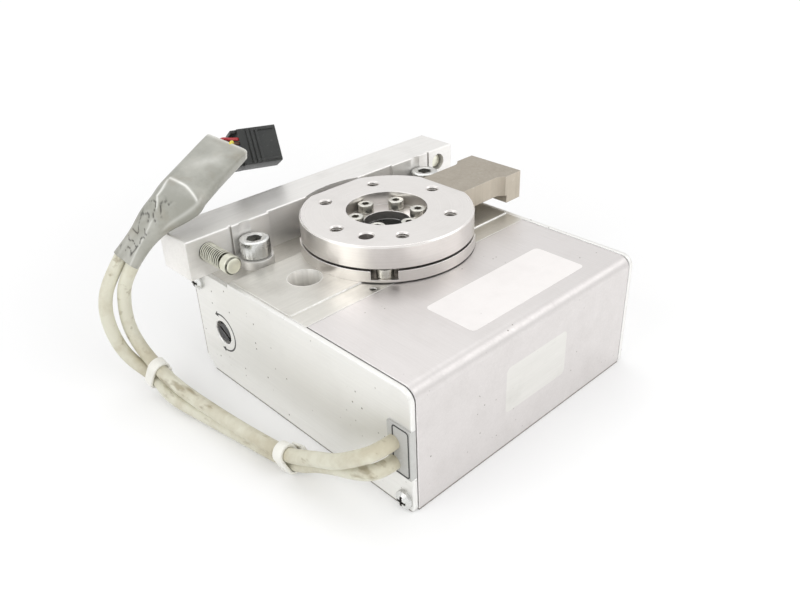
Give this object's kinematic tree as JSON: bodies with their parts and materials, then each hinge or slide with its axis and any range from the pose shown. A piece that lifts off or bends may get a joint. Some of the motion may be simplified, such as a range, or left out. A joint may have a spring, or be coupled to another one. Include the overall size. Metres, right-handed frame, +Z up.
{
  "type": "electric rotary table",
  "caption": "Low square electric rotary table with a hollow flanged turntable, external stop bar with adjuster bolts, stop arm and a cable with sleeve and plug.",
  "frame": {"origin": "where the table's turning axis meets the base plane", "axes": "+Z up along the turning axis, +X along the front face from the cable end towards the stop arm, +Y from the motor cover towards the stop bar"},
  "size_m": [0.1857, 0.1695, 0.0933],
  "materials": {
    "anodised_aluminium": "satin anodised",
    "machined_aluminium": "bright machined",
    "steel": "ground",
    "zinc": "zinc plated",
    "yellow_zinc": "pale yellow zinc plated",
    "nickel_steel": "dull nickel plated",
    "bronze": "machined",
    "black_metal": "black",
    "black_plastic": "moulded",
    "white_plastic": "moulded",
    "belt_rubber": "moulded",
    "grey_rubber": "moulded",
    "cable_jacket": "satin",
    "grey_sleeve": "heat shrunk",
    "wire_colours": "extruded"
  },
  "bodies": {
    "base": {"housing": "anodised_aluminium", "left_side_plate": "anodised_aluminium", "right_side_plate": "anodised_aluminium", "motor_cover": "anodised_aluminium", "cable_gland": "grey_rubber", "upper_bearing_outer_race": "steel", "upper_bearing_balls": "steel", "lower_bearing_outer_race": "steel", "lower_bearing_balls": "steel", "bearing_cover_ring": "machined_aluminium", "ring_screws": "zinc", "bearing_retainer": "machined_aluminium", "retainer_screws": "zinc", "worm_bearing_outer_races": "steel", "worm_bearing_balls": "steel", "worm_retaining_ring": "steel", "timing_belt": "belt_rubber", "motor_body": "black_metal", "motor_screws": "zinc", "motor_plate": "machined_aluminium", "motor_bearing_outer_races": "steel", "motor_bearing_balls": "steel", "encoder_cover": "black_plastic", "stop_bar": "machined_aluminium", "bar_screws": "zinc", "adjuster_nut": "zinc", "side_plate_screws": "zinc", "upper_cable": "cable_jacket", "lower_cable": "cable_jacket", "cable_ties": "white_plastic", "cable_sleeve": "grey_sleeve", "connector": "black_plastic", "lead_wires": "wire_colours"},
    "table": {"table": "machined_aluminium", "table_screws": "zinc", "hollow_shaft": "steel", "wheel_key": "steel", "table_spacer": "steel", "wheel_spacer": "steel", "shaft_nut": "steel", "upper_bearing_inner_race": "steel", "lower_bearing_inner_race": "steel", "worm_wheel": "bronze", "stop_arm": "nickel_steel", "arm_screws": "zinc"},
    "worm": {"worm": "steel", "worm_pulley": "machined_aluminium", "worm_bearing_inner_races": "steel"},
    "motor": {"motor_rotor": "steel", "motor_pulley": "machined_aluminium", "encoder_wheel": "black_plastic", "motor_bearing_inner_races": "steel"},
    "left_adjuster": {"left_adjuster_bolt": "yellow_zinc"},
    "right_adjuster": {"right_adjuster_bolt": "yellow_zinc"}
  },
  "joints": [
    {"name": "table_turn", "type": "hinge", "parent": "base", "child": "table", "pos_m": [0, 0, 0.0248], "axis": [0, 0, 1], "range_deg": [-180, 0]},
    {"name": "worm_spin", "type": "hinge", "parent": "base", "child": "worm", "pos_m": [0, 0.029, 0.0248], "axis": [1, 0, 0], "range_deg": [-7200, 0]},
    {"name": "motor_spin", "type": "hinge", "parent": "base", "child": "motor", "pos_m": [0, -0.0585, 0.0248], "axis": [1, 0, 0], "range_deg": [-7200, 0]},
    {"name": "left_adjuster_slide", "type": "slide", "parent": "base", "child": "left_adjuster", "axis": [0, 1, 0], "range_m": [0, 0.018]},
    {"name": "right_adjuster_slide", "type": "slide", "parent": "base", "child": "right_adjuster", "axis": [0, 1, 0], "range_m": [-0.021, 0]}
  ],
  "couplings": [
    {"joint": "worm_spin", "follows": "table_turn", "ratio": 40},
    {"joint": "motor_spin", "follows": "table_turn", "ratio": 40}
  ]
}
